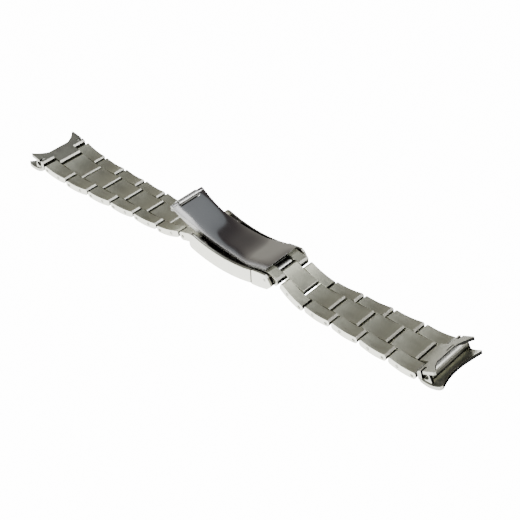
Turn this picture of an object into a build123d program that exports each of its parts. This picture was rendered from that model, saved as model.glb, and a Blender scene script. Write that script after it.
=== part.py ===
from build123d import *
import math
import os

# Link watch bracelet for a case with a 20 mm gap between its lugs.
# It lies with the wrist side up: X runs along the bracelet, Y across it, Z up.
# The origin is under the middle of the whole length, on the surface it lies on.
# Millimetres throughout.

# Rows of links
pitch = 10.9
thickness = 3.0
row_gap = 0.75
wrist_dip = 0.4
show_bulge = 0.5
toe = 0.6
toe_rise = 1.2
end_bevel = 0.6
clasp_bevel_run = 0.55
clasp_bevel_drop = 0.45
side_bevel = 0.12
centre_lead = 0.31 * pitch
centre_share = 0.47
side_gap = 0.08
pin_radius = 0.55
pin_inset = 0.03
running_gap = 0.05
screw_slot = 0.25
half_thickness = thickness / 2
hinge_inset = centre_lead / 2
piece_inset = row_gap / 2

# Sizes that only have to reach past every piece
beyond_half = 12
through_length = 40
beyond_height = 20

# Half widths at the row ends, from the clasp outwards
left_half_widths = (7.25, 7.4, 7.8, 8.35, 8.9, 9.45, 9.95)
right_half_widths = (7.25, 7.8, 8.35, 8.85, 9.4, 9.95)
width_step = 0.1

# The pose it lies in, with each slope taken going away from the clasp
clasp_x = 6.73
left_hinge_x = -21.1
left_hinge_z = 3.9
right_hinge_x = 18.9
right_hinge_z = 5.75
last_left_slope = 9.5
left_end_slope = 1.0
right_end_slope = 15.0

# Clasp cover and the end cap on it
cover_left = -16.6
cover_right = 10.4
cover_half_width = 8.9
cover_wall = 0.85
cover_radius = 46.0
cover_low = 0.2
cover_low_x = -1.0
rim_low = 6.05
rim_low_x = 0.5
lip_drop = 0.45
cap_gap = 0.2
inner_half_width = cover_half_width - cover_wall

# Folding blades
blade_sheet = 1.0
blade_end_half = 7.35
blade_hinge_x = 16.2
blade_hinge_z = 6.1
barrel_radius = 0.95
barrel_half = 3.1
fold_x = -25.3
fold_z = 12.9
ear_radius = 1.0
fold_barrel_radius = 1.3
knuckle_half = 7.0
blade_pin_radius = 0.5
notch_half_width = 4.5
notch_gap = 0.3
notch_end_x = -23.55

# Spring bar that holds the clasp end link in the cover
bar_x = -15.0
bar_z = 5.6
bar_radius = 0.75
bar_tip_radius = 0.35
clasp_link_half = 7.1

# End links, measured from the last hinge of each half
plate_slope = 10.5
show_plate = 1.2
wrist_plate = 1.0
tube_s = 4.8
tube_radius = 1.9
tube_bore = 0.95
tube_sink = 0.15
bar_end_s = 3.4
slot_end_s = 4.15
slot_depth = 2.3
web_end_s = 5.8
front_edge_s = 5.25
front_edge_half = 4.3
wrist_tip_s = 8.6
show_middle_s = 8.0
show_tip_s = 10.4


def write_part(shape, name):
    """Label one solid and write it as its own file."""
    shape.label = name
    export_step(shape, "parts/" + name + ".step")


def row_place(x, z, slope, side):
    """Place of a row whose hinge is at x, z and which rises by slope away from the clasp."""
    if side < 0:
        return Location((clasp_x + x, 0, z), (0, slope, 180))
    return Location((clasp_x + x, 0, z), (0, -slope, 0))


def link_piece(start, end, near, far, holes):
    """One arched link; near and far hold the Y of its two sides at the start and the end."""
    middle = (start + end) / 2
    low = -half_thickness
    high = half_thickness
    with BuildPart() as piece:
        with BuildSketch(Plane.XZ):
            with BuildLine():
                ThreePointArc((start + toe, low + show_bulge), (middle, low), (end - toe, low + show_bulge))
                Polyline(
                    (end - toe, low + show_bulge),
                    (end, low + toe_rise),
                    (end, high - end_bevel),
                    (end - end_bevel, high),
                )
                ThreePointArc(
                    (end - end_bevel, high), (middle, high - wrist_dip), (start + clasp_bevel_run, high)
                )
                Polyline(
                    (start + clasp_bevel_run, high),
                    (start, high - clasp_bevel_drop),
                    (start, low + toe_rise),
                    (start + toe, low + show_bulge),
                )
            make_face()
        extrude(amount=beyond_half, both=True)
        with BuildSketch(Plane.XY.offset(-thickness)):
            with BuildLine():
                Polyline((start, near[0]), (end, near[1]), (end, far[1]), (start, far[0]), close=True)
            make_face()
        extrude(amount=2 * thickness, mode=Mode.INTERSECT)
        long_edges = piece.edges().filter_by(lambda edge: edge.length > 0.6 * (end - start))
        chamfer(long_edges, length=side_bevel)
        for place, radius in holes:
            with Locations((place, 0, 0)):
                Cylinder(radius, through_length, rotation=(90, 0, 0), mode=Mode.SUBTRACT)
    return piece.part


def cross_pin(place, radius, half_length, slotted):
    """A pin across the bracelet; a screwed one has a slot in each head."""
    with BuildPart() as pin:
        with Locations(place):
            Cylinder(radius, 2 * half_length, rotation=(90, 0, 0))
        chamfer(pin.edges().filter_by(GeomType.CIRCLE), length=0.08)
        if slotted:
            for end in (-half_length, half_length):
                with Locations((place[0], end, place[2])):
                    Box(3 * radius, 0.5, screw_slot, mode=Mode.SUBTRACT)
    return pin.part


def centre_half(widths, distance):
    """Half width of the middle links at a distance from the first row end."""
    slope = (widths[-1] - widths[0]) / (pitch * (len(widths) - 1))
    return centre_share * (widths[0] + slope * distance)


def build_row(index, widths):
    """The near, far and middle link and the two pins of one row, in the row's own frame."""
    row_start = index * pitch - hinge_inset
    outer_start = hinge_inset + piece_inset
    outer_end = hinge_inset + pitch - piece_inset
    centre_start = piece_inset - hinge_inset
    centre_end = pitch - hinge_inset - piece_inset
    fixed_pin = (outer_start + centre_end) / 2
    inner_start = centre_half(widths, row_start + outer_start) + side_gap / 2
    inner_end = centre_half(widths, row_start + outer_end) + side_gap / 2
    wide_start = widths[index] - width_step
    wide_end = widths[index + 1] + width_step / 2
    outer_holes = ((fixed_pin, pin_radius), (pitch, pin_radius))
    near = link_piece(
        outer_start, outer_end, (-wide_start, -wide_end), (-inner_start, -inner_end), outer_holes
    )
    far = link_piece(outer_start, outer_end, (inner_start, inner_end), (wide_start, wide_end), outer_holes)
    half_start = centre_half(widths, row_start + centre_start) - side_gap / 2
    half_end = centre_half(widths, row_start + centre_end) - side_gap / 2
    centre_holes = ((0, pin_radius + running_gap), (fixed_pin, pin_radius))
    centre = link_piece(
        centre_start, centre_end, (-half_start, -half_end), (half_start, half_end), centre_holes
    )
    wide_slope = (wide_end - wide_start) / (outer_end - outer_start)
    fixed_half = wide_start + wide_slope * (fixed_pin - outer_start) - pin_inset
    hinge_half = wide_start + wide_slope * (pitch - outer_start) - pin_inset
    fixed = cross_pin((fixed_pin, 0, 0), pin_radius, fixed_half, False)
    hinge = cross_pin((pitch, 0, 0), pin_radius, hinge_half, True)
    return near, far, centre, Compound(children=[fixed, hinge])


def wrist_face(s):
    """Height of the end link's wrist face at a distance from its hinge."""
    return half_thickness + (s + hinge_inset) * math.tan(math.radians(plate_slope))


def tube_height():
    """Height of the cross tube's axis, a little below the wrist face."""
    return wrist_face(tube_s) - tube_sink - tube_radius


def end_link_shell(half_width, tongue_half, access_slot):
    """The folded end link: show plate, wrist plate, row-side bar, side webs and tongue."""
    start = hinge_inset + piece_inset
    tongue_start = piece_inset - hinge_inset
    show_low = (start, -0.9)
    show_mid = (6.5, -2.65)
    show_end = (show_tip_s + 0.05, -1.8)
    plan_half = half_width - 0.2
    with BuildPart() as show:
        # Arched show plate with the concave front that fits round the case
        with BuildSketch(Plane.XZ):
            with BuildLine():
                ThreePointArc(show_low, show_mid, show_end)
                Line(show_end, (show_end[0], show_end[1] + show_plate))
                ThreePointArc(
                    (show_end[0], show_end[1] + show_plate),
                    (show_mid[0], show_mid[1] + show_plate),
                    (show_low[0], show_low[1] + show_plate),
                )
                Line((show_low[0], show_low[1] + show_plate), show_low)
            make_face()
        extrude(amount=beyond_half, both=True)
        with BuildSketch(Plane.XY.offset(-5)):
            with BuildLine():
                Polyline(
                    (show_tip_s, half_width - 0.5),
                    (show_tip_s - 0.8, half_width),
                    (start + 0.6, half_width - 0.1),
                    (start, half_width - 0.5),
                    (start, -half_width + 0.5),
                    (start + 0.6, -half_width + 0.1),
                    (show_tip_s - 0.8, -half_width),
                    (show_tip_s, -half_width + 0.5),
                )
                ThreePointArc(
                    (show_tip_s, -half_width + 0.5), (show_middle_s, 0), (show_tip_s, half_width - 0.5)
                )
            make_face()
        extrude(amount=10, mode=Mode.INTERSECT)
    with BuildPart() as wrist:
        # Wrist plate, which climbs towards the case
        with BuildSketch(Plane.XZ):
            with BuildLine():
                Polyline(
                    (start, wrist_face(start) - wrist_plate),
                    (11, wrist_face(11) - wrist_plate),
                    (11, wrist_face(11)),
                    (start, wrist_face(start)),
                    close=True,
                )
            make_face()
        extrude(amount=beyond_half, both=True)
        # Its horns beside a straight front edge
        with BuildSketch(Plane.XY.offset(-5)):
            with BuildLine():
                Polyline(
                    (wrist_tip_s, plan_half - 0.4),
                    (wrist_tip_s - 0.6, plan_half),
                    (start, plan_half),
                    (start, -plan_half),
                    (wrist_tip_s - 0.6, -plan_half),
                    (wrist_tip_s, -plan_half + 0.4),
                )
                ThreePointArc(
                    (wrist_tip_s, -plan_half + 0.4), (6.75, -7.2), (front_edge_s, -front_edge_half)
                )
                Line((front_edge_s, -front_edge_half), (front_edge_s, front_edge_half))
                ThreePointArc(
                    (front_edge_s, front_edge_half), (6.75, 7.2), (wrist_tip_s, plan_half - 0.4)
                )
            make_face()
        extrude(amount=15, mode=Mode.INTERSECT)
    with BuildPart() as whole:
        add(show.part)
        add(wrist.part)
        # Row-side bar between the plates, bevelled towards the last row
        with BuildSketch(Plane.XZ):
            with BuildLine():
                Polyline(
                    (start, show_low[1] + 0.3),
                    (bar_end_s, show_low[1] + 0.1),
                    (bar_end_s, wrist_face(bar_end_s) - 0.3),
                    (start + clasp_bevel_run, wrist_face(start + clasp_bevel_run) - 0.2),
                    (start, wrist_face(start) - clasp_bevel_drop - 0.3),
                    close=True,
                )
            make_face()
        extrude(amount=plan_half, both=True)
        # Side webs that carry the ends of the cross tube
        for web_y in (-half_width + 0.9, half_width - 0.9):
            with BuildSketch(Plane.XZ.offset(-web_y)):
                with BuildLine():
                    Polyline(
                        (slot_end_s, -1.5),
                        (web_end_s + 0.9, -1.7),
                        (web_end_s, wrist_face(web_end_s) - 0.5),
                        (slot_end_s, wrist_face(slot_end_s) - 0.5),
                        close=True,
                    )
                make_face()
            extrude(amount=0.45, both=True)
        # Bevel along the row-side edge of the wrist plate
        with BuildSketch(Plane.XZ):
            with BuildLine():
                Polyline(
                    (start - 1, wrist_face(start) + 1),
                    (start - 1, wrist_face(start) - clasp_bevel_drop),
                    (start, wrist_face(start) - clasp_bevel_drop),
                    (start + clasp_bevel_run, wrist_face(start + clasp_bevel_run)),
                    (start + clasp_bevel_run, wrist_face(start) + 1),
                    close=True,
                )
            make_face()
        extrude(amount=beyond_half, both=True, mode=Mode.SUBTRACT)
        # Tongue that reaches into the last row, flush with the wrist plate
        with BuildSketch(Plane.XZ):
            with BuildLine():
                Polyline(
                    (tongue_start, -half_thickness + toe_rise),
                    (tongue_start + toe, -half_thickness + show_bulge),
                    (start + 0.5, -half_thickness + 0.3),
                    (start + clasp_bevel_run, -half_thickness + 0.3),
                    (start + clasp_bevel_run, wrist_face(start + clasp_bevel_run)),
                    (tongue_start + clasp_bevel_run, wrist_face(tongue_start + clasp_bevel_run)),
                    (tongue_start, wrist_face(tongue_start) - clasp_bevel_drop),
                    close=True,
                )
            make_face()
        extrude(amount=tongue_half, both=True)
        # Room for the cross tube, and its bore through the side webs
        with Locations((tube_s, 0, tube_height())):
            Cylinder(tube_radius, 2 * (half_width - 1.4), rotation=(90, 0, 0), mode=Mode.SUBTRACT)
            Cylinder(tube_bore, 2 * half_width, rotation=(90, 0, 0), mode=Mode.SUBTRACT)
        Cylinder(pin_radius + running_gap, through_length, rotation=(90, 0, 0), mode=Mode.SUBTRACT)
        # Slots that part the bar from the wrist plate at both sides
        slot_length = slot_end_s - bar_end_s
        for slot_y in (-plan_half, plan_half):
            with Locations((bar_end_s + slot_length / 2, slot_y, 3.4)):
                Box(slot_length, 2 * slot_depth, 5.2, mode=Mode.SUBTRACT)
        if access_slot:
            with BuildSketch(Plane.XY):
                with Locations((tube_s - 0.3, 3.0)):
                    SlotOverall(3.6, 0.7, rotation=90)
            extrude(amount=6, mode=Mode.SUBTRACT)
    return whole.part


def end_link_tube(half_length):
    """Cross tube that the spring bar of the watch runs in."""
    with BuildPart() as tube:
        with Locations((tube_s, 0, tube_height())):
            Cylinder(tube_radius - 0.01, 2 * half_length, rotation=(90, 0, 0))
            Cylinder(tube_bore, 2 * half_length, rotation=(90, 0, 0), mode=Mode.SUBTRACT)
    return tube.part


def cover_bottom(x):
    """Height of the curved show face over the flat surface."""
    return cover_low + cover_radius - math.sqrt(cover_radius**2 - (x - cover_low_x) ** 2)


def cover_rim(x):
    """Height of the side walls."""
    return rim_low + cover_radius - math.sqrt(cover_radius**2 - (x - rim_low_x) ** 2)


def cover_shell():
    """The long outer cover, a curved channel that is open on the wrist side."""
    with BuildPart() as cover:
        with BuildSketch(Plane.XZ) as outline:
            with BuildLine():
                ThreePointArc(
                    (cover_left, cover_bottom(cover_left)),
                    (cover_low_x, cover_low),
                    (cover_right, cover_bottom(cover_right)),
                )
                Line((cover_right, cover_bottom(cover_right)), (cover_right, cover_rim(cover_right)))
                ThreePointArc(
                    (cover_right, cover_rim(cover_right)),
                    (rim_low_x, rim_low),
                    (cover_left, cover_rim(cover_left)),
                )
                Line((cover_left, cover_rim(cover_left)), (cover_left, cover_bottom(cover_left)))
            make_face()
            left_ends = outline.vertices().sort_by(Axis.X)[:2]
            fillet(left_ends, radius=1.8)
        extrude(amount=cover_half_width, both=True)
        low_edges = cover.edges().filter_by(lambda edge: edge.length > 20 and edge.center().Z < 3)
        fillet(low_edges, radius=0.6)
        with BuildSketch(Plane.XZ):
            with BuildLine():
                ThreePointArc(
                    (cover_left - 2, cover_bottom(cover_left - 2) + cover_wall),
                    (cover_low_x, cover_low + cover_wall),
                    (cover_right + 2, cover_bottom(cover_right + 2) + cover_wall),
                )
                Polyline(
                    (cover_right + 2, cover_bottom(cover_right + 2) + cover_wall),
                    (cover_right + 2, 14),
                    (cover_left - 2, 14),
                    (cover_left - 2, cover_bottom(cover_left - 2) + cover_wall),
                )
            make_face()
        extrude(amount=inner_half_width, both=True, mode=Mode.SUBTRACT)
        # Bevelled lip under the clasp end link
        with BuildSketch(Plane.XZ):
            with BuildLine():
                Polyline(
                    (cover_left - 0.2, cover_bottom(cover_left) + cover_wall - lip_drop),
                    (cover_left + 1.2, cover_bottom(cover_left + 1.2) + cover_wall),
                    (cover_left + 1.2, cover_bottom(cover_left) + 2),
                    (cover_left - 0.2, cover_bottom(cover_left) + 2),
                    close=True,
                )
            make_face()
        extrude(amount=inner_half_width, both=True, mode=Mode.SUBTRACT)
        # Blind seats for the spring bar tips, in three places for fine adjustment
        for step in range(3):
            with Locations((bar_x + 3.0 * step, 0, bar_z - 0.4 * step)):
                Cylinder(
                    bar_tip_radius + 0.02,
                    2 * (inner_half_width + 0.5),
                    rotation=(90, 0, 0),
                    mode=Mode.SUBTRACT,
                )
    return cover.part


def hinge_end_cap():
    """The end cap of the cover, which carries the hinge of the blades."""
    left = cover_right + cap_gap
    with BuildPart() as cap:
        with BuildSketch(Plane.XZ) as outline:
            with BuildLine():
                Polyline(
                    (left, cover_bottom(left)),
                    (14.0, 2.1),
                    (17.0, 2.8),
                    (18.9, 4.7),
                    (17.2, 7.25),
                    (16.2, 7.95),
                    (13.3, 7.65),
                    (left, cover_rim(left)),
                    close=True,
                )
            make_face()
            right_end = outline.vertices().filter_by(lambda corner: corner.X > 16.0)
            fillet(right_end, radius=0.5)
        extrude(amount=cover_half_width, both=True)
        with BuildSketch(Plane.XZ):
            with BuildLine():
                Polyline(
                    (left - 2, cover_bottom(left) + cover_wall - 0.25),
                    (left, cover_bottom(left) + cover_wall),
                    (13.9, 2.1 + cover_wall),
                    (16.6, 2.8 + cover_wall),
                    (17.3, 4.3),
                    (21.0, 4.3),
                    (21.0, 14),
                    (left - 2, 14),
                    close=True,
                )
            make_face()
        extrude(amount=inner_half_width, both=True, mode=Mode.SUBTRACT)
        with Locations((blade_hinge_x, 0, blade_hinge_z)):
            Cylinder(blade_pin_radius, through_length, rotation=(90, 0, 0), mode=Mode.SUBTRACT)
    return cap.part


def catch_lugs():
    """Two catch lugs inside the cover walls."""
    lug_half = 0.45
    with BuildPart() as lugs:
        for side in (-1, 1):
            with BuildSketch(Plane.XZ.offset(-side * (inner_half_width - lug_half - 0.01))):
                with BuildLine():
                    Polyline(
                        (-12.9, 5.0), (-9.4, 4.6), (-9.4, 6.1), (-10.6, 6.8), (-12.9, 7.2), close=True
                    )
                make_face()
            extrude(amount=lug_half, both=True)
    return lugs.part


def inner_blade():
    """The polished inner blade, waisted, with a rolled knuckle on each side at its fold end."""
    top = (
        (-24.9, 13.75), (-21.5, 11.85), (-18.5, 10.6), (-12.5, 8.7), (-6.5, 7.6), (0.0, 7.05),
        (5.0, 7.05), (8.5, 7.75), (11.5, 8.4), (15.4, 9.0),
    )
    side = (
        (-25.7, knuckle_half), (-24.0, 6.95), (-18.5, 6.4), (-12.5, 6.1), (-3.5, 6.25), (2.5, 6.55),
        (5.8, 6.95), (8.4, blade_end_half),
    )
    with BuildPart() as blade:
        with BuildSketch(Plane.XZ):
            with BuildLine():
                upper = Spline(*top)
                lower = Spline(*[(x, z - blade_sheet) for x, z in top])
                Line(upper @ 0, lower @ 0)
                Line(upper @ 1, lower @ 1)
            make_face()
        extrude(amount=beyond_half, both=True)
        with Locations((fold_x, 0, fold_z)):
            Cylinder(ear_radius, 24, rotation=(90, 0, 0))
        with BuildSketch(Plane.XY):
            with BuildLine():
                far_side = Spline(*side)
                near_side = Spline(*[(x, -y) for x, y in side])
                Polyline(
                    far_side @ 0,
                    (-26.2, knuckle_half - 0.3),
                    (-26.5, knuckle_half - 0.9),
                    (-26.5, 0.9 - knuckle_half),
                    (-26.2, 0.3 - knuckle_half),
                    near_side @ 0,
                )
                Polyline(
                    far_side @ 1,
                    (14.7, blade_end_half),
                    (15.2, blade_end_half - 0.3),
                    (15.4, blade_end_half - 0.9),
                    (15.4, 0.9 - blade_end_half),
                    (15.2, 0.3 - blade_end_half),
                    (14.7, -blade_end_half),
                    near_side @ 1,
                )
            make_face()
        extrude(amount=beyond_height, mode=Mode.INTERSECT)
        with Locations(((fold_x + notch_end_x) / 2 - 1.5, 0, fold_z)):
            Box(notch_end_x - fold_x + 3.0, 2 * notch_half_width, 6.0, mode=Mode.SUBTRACT)
        with Locations((fold_x, 0, fold_z)):
            Cylinder(blade_pin_radius, through_length, rotation=(90, 0, 0), mode=Mode.SUBTRACT)
    return blade.part


def middle_blade():
    """The middle blade, hinged in the end cap and to the inner blade at the fold."""
    top = (
        (-25.0, 12.35), (-23.5, 11.35), (-21.5, 10.4), (-18.5, 9.25), (-12.5, 7.4), (-6.5, 6.3),
        (0.0, 5.7), (6.0, 5.5), (15.6, 5.95),
    )
    with BuildPart() as blade:
        with BuildSketch(Plane.XZ):
            with BuildLine():
                upper = Spline(*top)
                lower = Spline(*[(x - 0.1, z - 0.75) for x, z in top])
                Line(upper @ 0, lower @ 0)
                Line(upper @ 1, lower @ 1)
            make_face()
        extrude(amount=beyond_half, both=True)
        with BuildSketch(Plane.XY):
            with BuildLine():
                Polyline(
                    (-23.6, -6.1),
                    (-14.4, -5.9),
                    (-13.4, -5.4),
                    (11.6, -5.4),
                    (13.2, -barrel_half),
                    (17.5, -barrel_half),
                    (17.5, barrel_half),
                    (13.2, barrel_half),
                    (11.6, 5.4),
                    (-13.4, 5.4),
                    (-14.4, 5.9),
                    (-23.6, 6.1),
                    (-23.6, notch_half_width - notch_gap),
                    (-28.0, notch_half_width - notch_gap),
                    (-28.0, notch_gap - notch_half_width),
                    (-23.6, notch_gap - notch_half_width),
                    close=True,
                )
            make_face()
        extrude(amount=beyond_height, mode=Mode.INTERSECT)
        with Locations((fold_x, 0, fold_z)):
            Cylinder(fold_barrel_radius, 2 * (notch_half_width - notch_gap), rotation=(90, 0, 0))
            Cylinder(blade_pin_radius + running_gap, through_length, rotation=(90, 0, 0), mode=Mode.SUBTRACT)
        with Locations((blade_hinge_x, 0, blade_hinge_z)):
            Cylinder(barrel_radius, 2 * barrel_half, rotation=(90, 0, 0))
            Cylinder(blade_pin_radius + running_gap, through_length, rotation=(90, 0, 0), mode=Mode.SUBTRACT)
        # Window that clears the catch
        with BuildSketch(Plane.XY):
            with Locations((-6.0, 0)):
                SlotOverall(9.0, 3.2)
        extrude(amount=beyond_height, mode=Mode.SUBTRACT)
    return blade.part


def blade_end_block(arm_inner):
    """The block under the blade's end, with two arms that hold the first row of links."""
    with BuildPart() as block:
        with BuildSketch(Plane.XZ) as outline:
            with BuildLine():
                Polyline(
                    (15.35, 7.95),
                    (11.5, 7.33),
                    (9.2, 6.84),
                    (9.2, 6.2),
                    (10.2, 6.2),
                    (14.8, 6.85),
                    (17.05, 6.85),
                    (17.45, 6.4),
                    (17.5, 5.0),
                    (18.3, 4.35),
                    (19.5, 4.35),
                    (20.05, 5.1),
                    (20.0, 6.5),
                    (19.4, 7.1),
                    (16.2, 7.95),
                    close=True,
                )
            make_face()
            crown = outline.vertices().filter_by(lambda corner: corner.X > 18.0 and corner.Y < 5.2)
            fillet(crown, radius=0.35)
        extrude(amount=blade_end_half - 0.05, both=True)
        with BuildSketch(Plane.XY):
            with Locations((19.8, 0)):
                Rectangle(10.0, 2 * arm_inner)
        extrude(amount=beyond_height, mode=Mode.SUBTRACT)
        arm_tops = block.edges().filter_by(
            lambda edge: abs(edge.center().Y) > 7 and edge.center().X > 16 and edge.center().Z > 6.7
        )
        long_tops = arm_tops.filter_by(lambda edge: edge.center().Z > 7 and edge.length > 1)
        fillet(long_tops, radius=0.45)
        with Locations((right_hinge_x, 0, right_hinge_z)):
            Cylinder(pin_radius, through_length, rotation=(90, 0, 0), mode=Mode.SUBTRACT)
    return block.part


def clasp_end_link(arm_inner):
    """The link between the spring bar in the cover and the first row on the left."""
    run = bar_x - left_hinge_x
    rise = left_hinge_z - bar_z
    length = math.hypot(run, rise)
    reach = length + hinge_inset - piece_inset
    slope = math.degrees(math.atan2(rise, run))
    with BuildPart() as link:
        with BuildSketch(Plane.XZ) as profile:
            with Locations((reach / 2, 0)):
                Rectangle(reach, thickness)
            ends = profile.vertices().sort_by(Axis.X)[-2:]
            chamfer(ends.sort_by(Axis.Y)[-1:], length=end_bevel)
            low_end = profile.vertices().sort_by(Axis.Y)[:2].sort_by(Axis.X)[-1:]
            fillet(low_end, radius=1.2)
            Circle(half_thickness)
        extrude(amount=clasp_link_half, both=True)
        with BuildSketch(Plane.XY.offset(-5)):
            with Locations((length + 5 - hinge_inset - piece_inset, 0)):
                Rectangle(10.0, 2 * arm_inner)
        extrude(amount=10, mode=Mode.SUBTRACT)
        with Locations((length, 0, 0)):
            Cylinder(pin_radius, through_length, rotation=(90, 0, 0), mode=Mode.SUBTRACT)
        Cylinder(bar_radius + running_gap, through_length, rotation=(90, 0, 0), mode=Mode.SUBTRACT)
    return link.part.moved(Location((clasp_x + bar_x, 0, bar_z), (0, slope, 180)))


def spring_bar():
    """The spring bar: a plain body with a thin tip at each end."""
    with BuildPart() as bar:
        with Locations((bar_x, 0, bar_z)):
            Cylinder(bar_radius, 2 * clasp_link_half - 0.2, rotation=(90, 0, 0))
            Cylinder(bar_tip_radius, 2 * inner_half_width + 0.8, rotation=(90, 0, 0))
    return bar.part


def build_half(name, widths, side, hinge_x, hinge_z, slopes, end_slope):
    """All rows of one half and its end link, from the clasp outwards."""
    x = hinge_x
    z = hinge_z
    near_side = "_near_link" if side > 0 else "_far_link"
    far_side = "_far_link" if side > 0 else "_near_link"
    for index, slope in enumerate(slopes):
        place = row_place(x, z, slope, side)
        near, far, centre, pins = build_row(index, widths)
        row = name + "_row_" + str(index + 1)
        write_part(near.moved(place), row + near_side)
        write_part(far.moved(place), row + far_side)
        write_part(centre.moved(place), row + "_centre_link")
        write_part(pins.moved(place), row + "_pins")
        x = x + side * pitch * math.cos(math.radians(slope))
        z = z + pitch * math.sin(math.radians(slope))
    tongue = centre_half(widths, len(slopes) * pitch) - side_gap / 2 - 0.05
    place = row_place(x, z, end_slope, side)
    shell = end_link_shell(widths[-1], tongue, side > 0)
    write_part(shell.moved(place), name + "_end_link_shell")
    write_part(end_link_tube(widths[-1] - 1.4).moved(place), name + "_end_link_tube")


def main():
    """Build and write every part."""
    os.makedirs("parts", exist_ok=True)
    clasp = Location((clasp_x, 0, 0))
    first_left = -math.degrees(math.asin((left_hinge_z - half_thickness) / pitch))
    first_right = -math.degrees(math.asin((right_hinge_z - half_thickness) / pitch))
    left_slopes = (first_left, 0, 0, 0, 0, last_left_slope)
    right_slopes = (first_right, 0, 0, 0, 0)
    build_half("left", left_half_widths, -1, left_hinge_x, left_hinge_z, left_slopes, left_end_slope)
    build_half(
        "right", right_half_widths, 1, right_hinge_x, right_hinge_z, right_slopes, right_end_slope
    )
    write_part(cover_shell().moved(clasp), "cover_shell")
    write_part(hinge_end_cap().moved(clasp), "hinge_end_cap")
    write_part(catch_lugs().moved(clasp), "catch_lugs")
    blade_pin = cross_pin(
        (blade_hinge_x, 0, blade_hinge_z), blade_pin_radius, cover_half_width - 0.05, False
    )
    write_part(blade_pin.moved(clasp), "blade_hinge_pin")
    write_part(middle_blade().moved(clasp), "middle_blade")
    write_part(inner_blade().moved(clasp), "inner_blade")
    fold_pin = cross_pin((fold_x, 0, fold_z), blade_pin_radius, knuckle_half - 0.1, False)
    write_part(fold_pin.moved(clasp), "fold_hinge_pin")
    right_arm = centre_half(right_half_widths, 0) + side_gap / 2 + 0.02
    left_arm = centre_half(left_half_widths, 0) + side_gap / 2 + 0.02
    write_part(blade_end_block(right_arm).moved(clasp), "blade_end_block")
    block_pin = cross_pin(
        (right_hinge_x, 0, right_hinge_z), pin_radius, blade_end_half - pin_inset, True
    )
    write_part(block_pin.moved(clasp), "blade_end_pin")
    write_part(clasp_end_link(left_arm), "clasp_end_link")
    link_pin = cross_pin((left_hinge_x, 0, left_hinge_z), pin_radius, clasp_link_half - 0.06, True)
    write_part(link_pin.moved(clasp), "clasp_end_link_pin")
    write_part(spring_bar().moved(clasp), "spring_bar")


main()
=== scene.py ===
import math

import bpy
from mathutils import Matrix, Vector

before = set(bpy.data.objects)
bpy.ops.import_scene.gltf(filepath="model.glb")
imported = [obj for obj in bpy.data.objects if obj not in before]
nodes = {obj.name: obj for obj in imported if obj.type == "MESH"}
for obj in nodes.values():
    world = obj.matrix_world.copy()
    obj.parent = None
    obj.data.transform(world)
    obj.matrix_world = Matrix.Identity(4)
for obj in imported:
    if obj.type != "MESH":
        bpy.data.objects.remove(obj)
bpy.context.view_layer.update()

# Places and lengths on the bracelet, in metres
MM = 0.001
END_X = 0.083  # about where the end links' outer faces stand, at either end
SEAM_X = 0.01723  # the middle of the narrow gap between the cover and its end cap
SEAM_SPAN = (0.00018, 0.0003)  # the painted shade line there fades between these, from its middle
CHANNEL_HALF = 0.0082  # just outside the inner faces of the cover's walls
CHANNEL_SPAN = (CHANNEL_HALF - 0.00002, CHANNEL_HALF + 0.00006)
BLADE_HALF = 0.0065  # about half the width of the blades

# Noise: scales for each axis, of which a low one draws long streaks, and detail
STREAKS = ((60, 9000, 9000), 3.0)
PATCHES = ((90, 260, 260), 2.0)
CLOUDS = ((120, 120, 120), 3.0)
WIPES = ((300, 5000, 1200), 2.0)

# Masks by a face's direction: where they start and where they are full
BEVEL_SPAN = (0.55, 0.62)
UP_SPAN = (0.2, 0.4)
BLADE_SIDE_SPAN = (0.6, 0.85)
BLADE_END_SPAN = (0.7, 0.9)
SIDE_FADE = 0.2  # the side mask is full this much after its start
END_FADE = 0.12  # and the end mask this much

# Masks by direction times place, in metres
OUTWARD_SPAN = (0.5 * END_X, 0.62 * END_X)
WALL_SPAN = (-0.004, -0.002)

# Brushed steel
PATCH_SHARE = 0.65
STREAK_SHARE = 0.35
# Painted light and shade: the tint of the sides' own tone
PAINTED_SIDE_TINT = (1.0, 1.01, 0.88)
# Painted highlight: the tint of the light bevels
BEVEL_HIGHLIGHT_TINT = (1.0, 1.0, 0.9)
# Painted shade: the tint of the dark ends of the pieces
END_SHADE_TINT = (1.0, 1.0, 0.85)
# Painted shade: the dark line in the seam
SEAM_SHADE_COLOUR = (0.02, 0.019, 0.017)
# Painted shade: the darker inside of the cover's channel
INSIDE_SHADE_COLOUR = (0.24, 0.23, 0.21)
# Painted shade: the near black of the end links' outward faces
OUTWARD_SHADE_COLOUR = (0.012, 0.012, 0.011)
FULL_EDGE = (1.0, 1.0, 1.0)
# Painted shade: the ends' reflections are dimmed to this
SHADED_END_EDGE = (0.1, 0.1, 0.1)
STREAK_SPAN = (0.3, 0.7)
STREAK_SMOOTHER = 0.05
STREAK_ROUGHER = 0.07
PATCH_SPAN = (0.35, 0.65)
PATCH_ROUGH = 0.03
SIDE_ROUGH = 0.25
ANISOTROPY = 0.3
EDGE_RADIUS = 0.0001
EDGE_SAMPLES = 4
STREAK_DEPTH = 0.00002
STREAK_BUMP = 0.25

# Polished steel
# Painted shade: the darker colours of the blades' sides and ends
BLADE_SIDE_SHADE_COLOUR = (0.35, 0.35, 0.335)
BLADE_END_SHADE_COLOUR = (0.1, 0.1, 0.095)
WIPE_SPAN = (0.3, 0.7)
WIPE_SMOOTHER = 0.7
WIPE_ROUGHER = 1.4
BLADE_EDGE_RADIUS = 0.00008
BLADE_EDGE_SAMPLES = 8
CROWN_POWER = 5.0
FAR_CROWN = 0.3
NEAR_SATIN = 0.45

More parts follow.
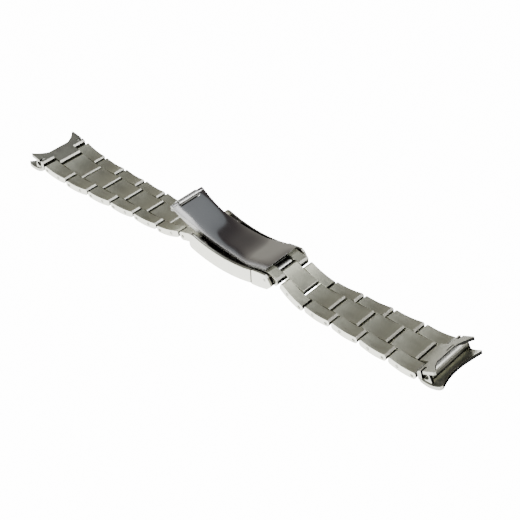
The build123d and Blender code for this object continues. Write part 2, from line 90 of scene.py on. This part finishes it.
# Floor, whose glow is larger to the camera than in the steel's reflections
FLOOR_SIZE = 6.0
FLOOR_DROP = 0.00002
FLOOR_SEEN = 14.0
FLOOR_GLOW = 3.6
FAR_FLOOR_GLOW = 0.4
FLOOR_FADE = (0.28, 0.42)
FLOOR_COLOUR = (0.93, 0.93, 0.92)
FLOOR_GLOW_COLOUR = (1.0, 1.0, 0.995)
FLOOR_ROUGH = 0.9
FLOOR_SPECULAR = 0.1

# The room around it: height from the horizon up to straight above, and colour
STUDIO_STOPS = (
    (0.0, (0.46, 0.45, 0.41)),
    (0.36, (0.44, 0.425, 0.375)),
    (0.45, (0.30, 0.285, 0.258)),
    (0.6, (0.19, 0.178, 0.163)),
    (0.72, (0.075, 0.065, 0.066)),
    (0.765, (0.062, 0.054, 0.056)),
    (0.777, (0.25, 0.265, 0.28)),
    (1.0, (0.46, 0.48, 0.50)),
)

# Lights: name, place, width and height, watts
LIGHTS = (
    ("key", (0.15, -0.05, 0.9), (0.8, 0.7), 4.0),
    ("front", (0.5, -0.9, 0.5), (0.9, 0.6), 6.0),
    ("back", (0.45, 0.55, 0.65), (0.35, 0.35), 1.6),
)

# The camera stands to the right and in front, above the bracelet
CAMERA_PLACE = Vector((215.515, -211.99, 232.24)) * MM
AZIMUTH = math.radians(43.705)
ELEVATION = math.radians(37.958)
ROLL = math.radians(-2.428)
SENSOR_WIDTH = 36.0
LENS = 81.825
NEAREST = 0.01
FARTHEST = 20.0

# Sockets of the Mix node when it mixes colours
MIX_SHARE = 0
MIX_FIRST = 6
MIX_SECOND = 7
MIX_RESULT = 2


# Nodes

def principled(name):
    """A new material with its node tree, and its shader."""
    mat = bpy.data.materials.new(name)
    mat.use_nodes = True
    tree = mat.node_tree
    return mat, tree, tree.nodes["Principled BSDF"]


def node(tree, kind, **values):
    """A node with its settings and its plain input values."""
    made = tree.nodes.new(kind)
    for key, value in values.items():
        if key.startswith("in_"):
            made.inputs[key[3:].replace("_", " ")].default_value = value
        else:
            setattr(made, key, value)
    return made


def math_node(tree, kind, first, second=0.0):
    """A math node fed by sockets or numbers."""
    made = tree.nodes.new("ShaderNodeMath")
    made.operation = kind
    for place, value in enumerate((first, second)):
        if isinstance(value, (int, float)):
            made.inputs[place].default_value = value
        else:
            tree.links.new(value, made.inputs[place])
    return made.outputs[0]


def ramp(tree, value, span, first=0.0, second=1.0):
    """A smooth step from the first number to the second while the value crosses a span."""
    made = tree.nodes.new("ShaderNodeMapRange")
    made.interpolation_type = "SMOOTHSTEP"
    made.inputs["From Min"].default_value = span[0]
    made.inputs["From Max"].default_value = span[1]
    made.inputs["To Min"].default_value = first
    made.inputs["To Max"].default_value = second
    tree.links.new(value, made.inputs["Value"])
    return made.outputs[0]


def mixed_colour(tree, share, first, second):
    """Two colours mixed by a share; each is a plain colour or a socket."""
    made = tree.nodes.new("ShaderNodeMix")
    made.data_type = "RGBA"
    for place, colour in ((MIX_FIRST, first), (MIX_SECOND, second)):
        if isinstance(colour, tuple):
            made.inputs[place].default_value = (*colour, 1)
        else:
            tree.links.new(colour, made.inputs[place])
    tree.links.new(share, made.inputs[MIX_SHARE])
    return made.outputs[MIX_RESULT]


def scaled_noise(tree, scale, detail):
    """Noise over the object's own coordinates, stretched by a scale for each axis."""
    place = node(tree, "ShaderNodeTexCoord")
    mapping = tree.nodes.new("ShaderNodeMapping")
    mapping.inputs["Scale"].default_value = scale
    tree.links.new(place.outputs["Object"], mapping.inputs["Vector"])
    noise = node(tree, "ShaderNodeTexNoise", in_Scale=1.0, in_Detail=detail)
    tree.links.new(mapping.outputs["Vector"], noise.inputs["Vector"])
    return noise.outputs["Fac"]


def split(tree, output):
    """The three parts of a texture coordinate."""
    place = node(tree, "ShaderNodeTexCoord")
    parts = node(tree, "ShaderNodeSeparateXYZ")
    tree.links.new(place.outputs[output], parts.inputs["Vector"])
    return parts.outputs


def softened(tree, shader, bump, radius, samples):
    """Gives the shader a bump over normals that are rounded at the edges."""
    bevel = node(tree, "ShaderNodeBevel", samples=samples, in_Radius=radius)
    tree.links.new(bevel.outputs["Normal"], bump.inputs["Normal"])
    tree.links.new(bump.outputs["Normal"], shader.inputs["Normal"])


# Masks, one where they apply and nought elsewhere

def facing_mask(tree, axis, span):
    """Faces that look along an axis, either way."""
    size = math_node(tree, "ABSOLUTE", split(tree, "Normal")[axis])
    return ramp(tree, size, span)


def outward_mask(tree):
    """Faces of the end links that look away from the clasp, at either end, which get painted
    shade.
    """
    away = math_node(tree, "MULTIPLY", split(tree, "Normal")["X"], split(tree, "Object")["X"])
    return ramp(tree, away, OUTWARD_SPAN)


def seam_mask(tree):
    """A hair line of painted shade where the cover and its end cap meet."""
    away = math_node(tree, "SUBTRACT", split(tree, "Object")["X"], SEAM_X)
    away = math_node(tree, "ABSOLUTE", away)
    return ramp(tree, away, SEAM_SPAN, 1.0, 0.0)


def inside_mask(tree):
    """Faces that look into the open channel of the cover, which get painted shade."""
    place = split(tree, "Object")
    way = split(tree, "Normal")
    across = math_node(tree, "ABSOLUTE", place["Y"])
    near_middle = ramp(tree, across, CHANNEL_SPAN, 1.0, 0.0)
    looks_up = ramp(tree, way["Z"], UP_SPAN)
    inward = math_node(tree, "MULTIPLY", place["Y"], way["Y"])
    looks_in = ramp(tree, inward, WALL_SPAN, 1.0, 0.0)
    either = math_node(tree, "MAXIMUM", looks_up, looks_in)
    return math_node(tree, "MULTIPLY", near_middle, either)


# Materials

def tinted(tone, tint):
    """A colour of one brightness with a tint."""
    return tuple(tone * part for part in tint)


def brushed_steel(
    name, dark, light, rough, end_shade_tone, end_from=0.8, side_from=0.62,
    painted_side_tone=0.62, bevel_highlight_tone=0.74, on_shell=False, on_cover=False,
):
    """Steel brushed along the bracelet, with tones of their own for sides, bevels and ends,
    set by the way they face: painted light and shade on the sides, a painted highlight on the
    bevels and painted shade on the ends.
    """
    mat, tree, shader = principled(name)
    shader.inputs["Metallic"].default_value = 1.0
    streaks = scaled_noise(tree, *STREAKS)
    patches = scaled_noise(tree, *PATCHES)
    sides = facing_mask(tree, "Y", (side_from, side_from + SIDE_FADE))
    highlight_bevels = facing_mask(tree, "X", BEVEL_SPAN)
    ends = facing_mask(tree, "X", (end_from, end_from + END_FADE))
    tone = math_node(tree, "MULTIPLY", patches, PATCH_SHARE)
    streak_tone = math_node(tree, "MULTIPLY", streaks, STREAK_SHARE)
    tone = math_node(tree, "ADD", tone, streak_tone)
    colour = mixed_colour(tree, tone, dark, light)
    # Painted light and shade: the sides get a tone of their own by the way they face
    colour = mixed_colour(tree, sides, colour, tinted(painted_side_tone, PAINTED_SIDE_TINT))
    # Painted highlight: the bevels across the bracelet are coloured light
    colour = mixed_colour(tree, highlight_bevels, colour, tinted(bevel_highlight_tone, BEVEL_HIGHLIGHT_TINT))
    # Painted shade: the ends of the pieces, toward the gaps between them, are coloured dark
    colour = mixed_colour(tree, ends, colour, tinted(end_shade_tone, END_SHADE_TINT))
    if on_cover:
        # Painted shade: a dark line in the narrow gap between the cover and its end cap
        colour = mixed_colour(tree, seam_mask(tree), colour, SEAM_SHADE_COLOUR)
        # Painted shade: the inside of the cover's channel is coloured darker
        colour = mixed_colour(tree, inside_mask(tree), colour, INSIDE_SHADE_COLOUR)
    if on_shell:
        # Painted shade: the end links' outward faces are coloured near black, and their
        # reflections dimmed like the ends
        away = outward_mask(tree)
        ends = math_node(tree, "MAXIMUM", ends, away)
        colour = mixed_colour(tree, away, colour, OUTWARD_SHADE_COLOUR)
    tree.links.new(colour, shader.inputs["Base Color"])
    # Painted shade: the reflections of the ends are dimmed too
    edge = mixed_colour(tree, ends, FULL_EDGE, SHADED_END_EDGE)
    tree.links.new(edge, shader.inputs["Specular Tint"])

    smoothest, roughest = rough - STREAK_SMOOTHER, rough + STREAK_ROUGHER
    streak_rough = ramp(tree, streaks, STREAK_SPAN, smoothest, roughest)
    patch_rough = ramp(tree, patches, PATCH_SPAN, -PATCH_ROUGH, PATCH_ROUGH)
    top_rough = math_node(tree, "ADD", streak_rough, patch_rough)
    off_sides = math_node(tree, "SUBTRACT", 1.0, sides)
    top_rough = math_node(tree, "MULTIPLY", top_rough, off_sides)
    side_rough = math_node(tree, "MULTIPLY", sides, SIDE_ROUGH)
    all_rough = math_node(tree, "ADD", top_rough, side_rough)
    tree.links.new(all_rough, shader.inputs["Roughness"])

    shader.inputs["Anisotropic"].default_value = ANISOTROPY
    tangent = node(tree, "ShaderNodeTangent", direction_type="RADIAL", axis="X")
    tree.links.new(tangent.outputs["Tangent"], shader.inputs["Tangent"])
    bump = node(tree, "ShaderNodeBump", in_Distance=STREAK_DEPTH)
    strength = math_node(tree, "MULTIPLY", off_sides, STREAK_BUMP)
    tree.links.new(strength, bump.inputs["Strength"])
    tree.links.new(streaks, bump.inputs["Height"])
    softened(tree, shader, bump, EDGE_RADIUS, EDGE_SAMPLES)
    return mat


def polished_steel(name, dark, light, rough, crown):
    """Polished sheet with faint wipe marks and a crown that falls off to its sides; its sides
    and ends are coloured darker, which is painted shade.
    """
    mat, tree, shader = principled(name)
    shader.inputs["Metallic"].default_value = 1.0
    clouds = scaled_noise(tree, *CLOUDS)
    wipes = scaled_noise(tree, *WIPES)
    sides = facing_mask(tree, "Y", BLADE_SIDE_SPAN)
    end = ramp(tree, split(tree, "Normal")["X"], BLADE_END_SPAN)
    colour = mixed_colour(tree, clouds, dark, light)
    # Painted shade: the blades' sides and ends are coloured darker
    colour = mixed_colour(tree, sides, colour, BLADE_SIDE_SHADE_COLOUR)
    colour = mixed_colour(tree, end, colour, BLADE_END_SHADE_COLOUR)
    tree.links.new(colour, shader.inputs["Base Color"])

    # How far out a point lies, from the middle line to the near and the far side
    share = math_node(tree, "DIVIDE", split(tree, "Object")["Y"], BLADE_HALF)
    far_share = math_node(tree, "MAXIMUM", share, 0.0)
    far = math_node(tree, "POWER", far_share, CROWN_POWER)
    near_share = math_node(tree, "MULTIPLY", share, -1.0)
    near_share = math_node(tree, "MAXIMUM", near_share, 0.0)
    near = math_node(tree, "POWER", near_share, CROWN_POWER)

    wipe_rough = ramp(tree, wipes, WIPE_SPAN, rough * WIPE_SMOOTHER, rough * WIPE_ROUGHER)
    satin = math_node(tree, "MULTIPLY", near, NEAR_SATIN)
    all_rough = math_node(tree, "ADD", wipe_rough, satin)
    tree.links.new(all_rough, shader.inputs["Roughness"])

    fall = math_node(tree, "ADD", near, math_node(tree, "MULTIPLY", far, FAR_CROWN))
    bump = node(tree, "ShaderNodeBump", in_Distance=1.0, in_Strength=1.0)
    height = math_node(tree, "MULTIPLY", fall, -crown)
    tree.links.new(height, bump.inputs["Height"])
    softened(tree, shader, bump, BLADE_EDGE_RADIUS, BLADE_EDGE_SAMPLES)
    return mat


def pale_floor():
    """A plain floor, near white to the camera, whose glow on the steel fades with distance."""
    mat, tree, shader = principled("pale_floor")
    place = split(tree, "Object")
    across = math_node(tree, "POWER", place["Y"], 2.0)
    along = math_node(tree, "POWER", place["X"], 2.0)
    distance = math_node(tree, "SQRT", math_node(tree, "ADD", across, along))
    glow = ramp(tree, distance, FLOOR_FADE, FLOOR_GLOW, FAR_FLOOR_GLOW)
    seen = node(tree, "ShaderNodeLightPath").outputs["Is Camera Ray"]
    seen_glow = math_node(tree, "MULTIPLY", seen, FLOOR_SEEN)
    glow = math_node(tree, "MAXIMUM", glow, seen_glow)
    tree.links.new(glow, shader.inputs["Emission Strength"])
    shader.inputs["Base Color"].default_value = (*FLOOR_COLOUR, 1)
    shader.inputs["Roughness"].default_value = FLOOR_ROUGH
    shader.inputs["Specular IOR Level"].default_value = FLOOR_SPECULAR
    shader.inputs["Emission Color"].default_value = (*FLOOR_GLOW_COLOUR, 1)
    return mat


link_steel = brushed_steel(
    "link_steel", dark=(0.53, 0.537, 0.437), light=(0.67, 0.678, 0.558),
    rough=0.4, end_shade_tone=0.05,
)
shell_steel = brushed_steel(
    "shell_steel", dark=(0.42, 0.425, 0.362), light=(0.54, 0.546, 0.466),
    rough=0.36, end_shade_tone=0.035, side_from=0.78, painted_side_tone=0.4, on_shell=True,
)
cover_steel = brushed_steel(
    "cover_steel", dark=(0.50, 0.505, 0.447), light=(0.60, 0.605, 0.537),
    rough=0.3, end_shade_tone=0.3, on_cover=True,
)
tube_steel = brushed_steel(
    "tube_steel", dark=(0.56, 0.557, 0.51), light=(0.66, 0.656, 0.6),
    rough=0.3, end_shade_tone=0.05, end_from=0.75, bevel_highlight_tone=0.6,
)
pin_steel = brushed_steel(
    "pin_steel", dark=(0.50, 0.505, 0.415), light=(0.64, 0.646, 0.535),
    rough=0.35, end_shade_tone=0.3, painted_side_tone=0.34,
)
blade_steel = polished_steel(
    "blade_steel", dark=(0.56, 0.555, 0.56), light=(0.66, 0.655, 0.65),
    rough=0.07, crown=0.0004,
)
# Painted light: the middle blade's steel is set much lighter than the inner blade's, so that
# its barrel shows bright
lit_barrel_steel = polished_steel(
    "lit_barrel_steel", dark=(0.84, 0.84, 0.83), light=(0.92, 0.92, 0.9),
    rough=0.25, crown=0.0,
)

for name, shown in nodes.items():
    if name == "inner_blade":
        mat = blade_steel
    elif name == "middle_blade":
        mat = lit_barrel_steel
    elif name in ("cover_shell", "hinge_end_cap", "catch_lugs"):
        mat = cover_steel
    elif name.endswith(("_pins", "_pin")) or name == "spring_bar":
        mat = pin_steel
    elif name.endswith("_tube"):
        mat = tube_steel
    elif name.endswith("_end_link_shell"):
        mat = shell_steel
    else:
        mat = link_steel
    shown.data.materials.clear()
    shown.data.materials.append(mat)


# Floor, light and camera

bpy.ops.mesh.primitive_plane_add(size=FLOOR_SIZE, location=(0, 0, -FLOOR_DROP))
floor = bpy.context.object
floor.name = "floor"
floor.data.materials.append(pale_floor())


def area(name, place, size, power):
    """A rectangular area light aimed at the middle of the bracelet."""
    data = bpy.data.lights.new(name, "AREA")
    data.shape = "RECTANGLE"
    data.size, data.size_y = size
    data.energy = power
    lamp = bpy.data.objects.new(name, data)
    bpy.context.collection.objects.link(lamp)
    lamp.location = place
    way = -Vector(place)
    lamp.rotation_euler = way.to_track_quat("-Z", "Y").to_euler()


def studio_world():
    """A studio room: pale ceiling, a dark band below it and warm grey walls."""
    world = bpy.data.worlds.new("studio")
    world.use_nodes = True
    tree = world.node_tree
    height = split(tree, "Generated")["Z"]
    bands = tree.nodes.new("ShaderNodeValToRGB")
    stops = bands.color_ramp.elements
    while len(stops) < len(STUDIO_STOPS):
        stops.new(0.5)
    for stop, (place, colour) in zip(stops, STUDIO_STOPS):
        stop.position = place
        stop.color = (*colour, 1)
    tree.links.new(height, bands.inputs["Fac"])
    back = tree.nodes["Background"]
    tree.links.new(bands.outputs["Color"], back.inputs["Color"])
    back.inputs["Strength"].default_value = 1.0
    bpy.context.scene.world = world


for light in LIGHTS:
    area(*light)
studio_world()

forward = Vector(
    (
        -math.sin(AZIMUTH) * math.cos(ELEVATION),
        math.cos(AZIMUTH) * math.cos(ELEVATION),
        -math.sin(ELEVATION),
    )
)
flat_right = forward.cross(Vector((0, 0, 1))).normalized()
flat_up = flat_right.cross(forward)
right = flat_right * math.cos(ROLL) + flat_up * math.sin(ROLL)
up = flat_up * math.cos(ROLL) - flat_right * math.sin(ROLL)
turn = Matrix((right, up, -forward)).transposed()
camera_data = bpy.data.cameras.new("camera")
camera_data.sensor_width = SENSOR_WIDTH
camera_data.lens = LENS
camera_data.clip_start = NEAREST
camera_data.clip_end = FARTHEST
camera = bpy.data.objects.new("camera", camera_data)
bpy.context.collection.objects.link(camera)
camera.matrix_world = Matrix.Translation(CAMERA_PLACE) @ turn.to_4x4()
bpy.context.scene.camera = camera


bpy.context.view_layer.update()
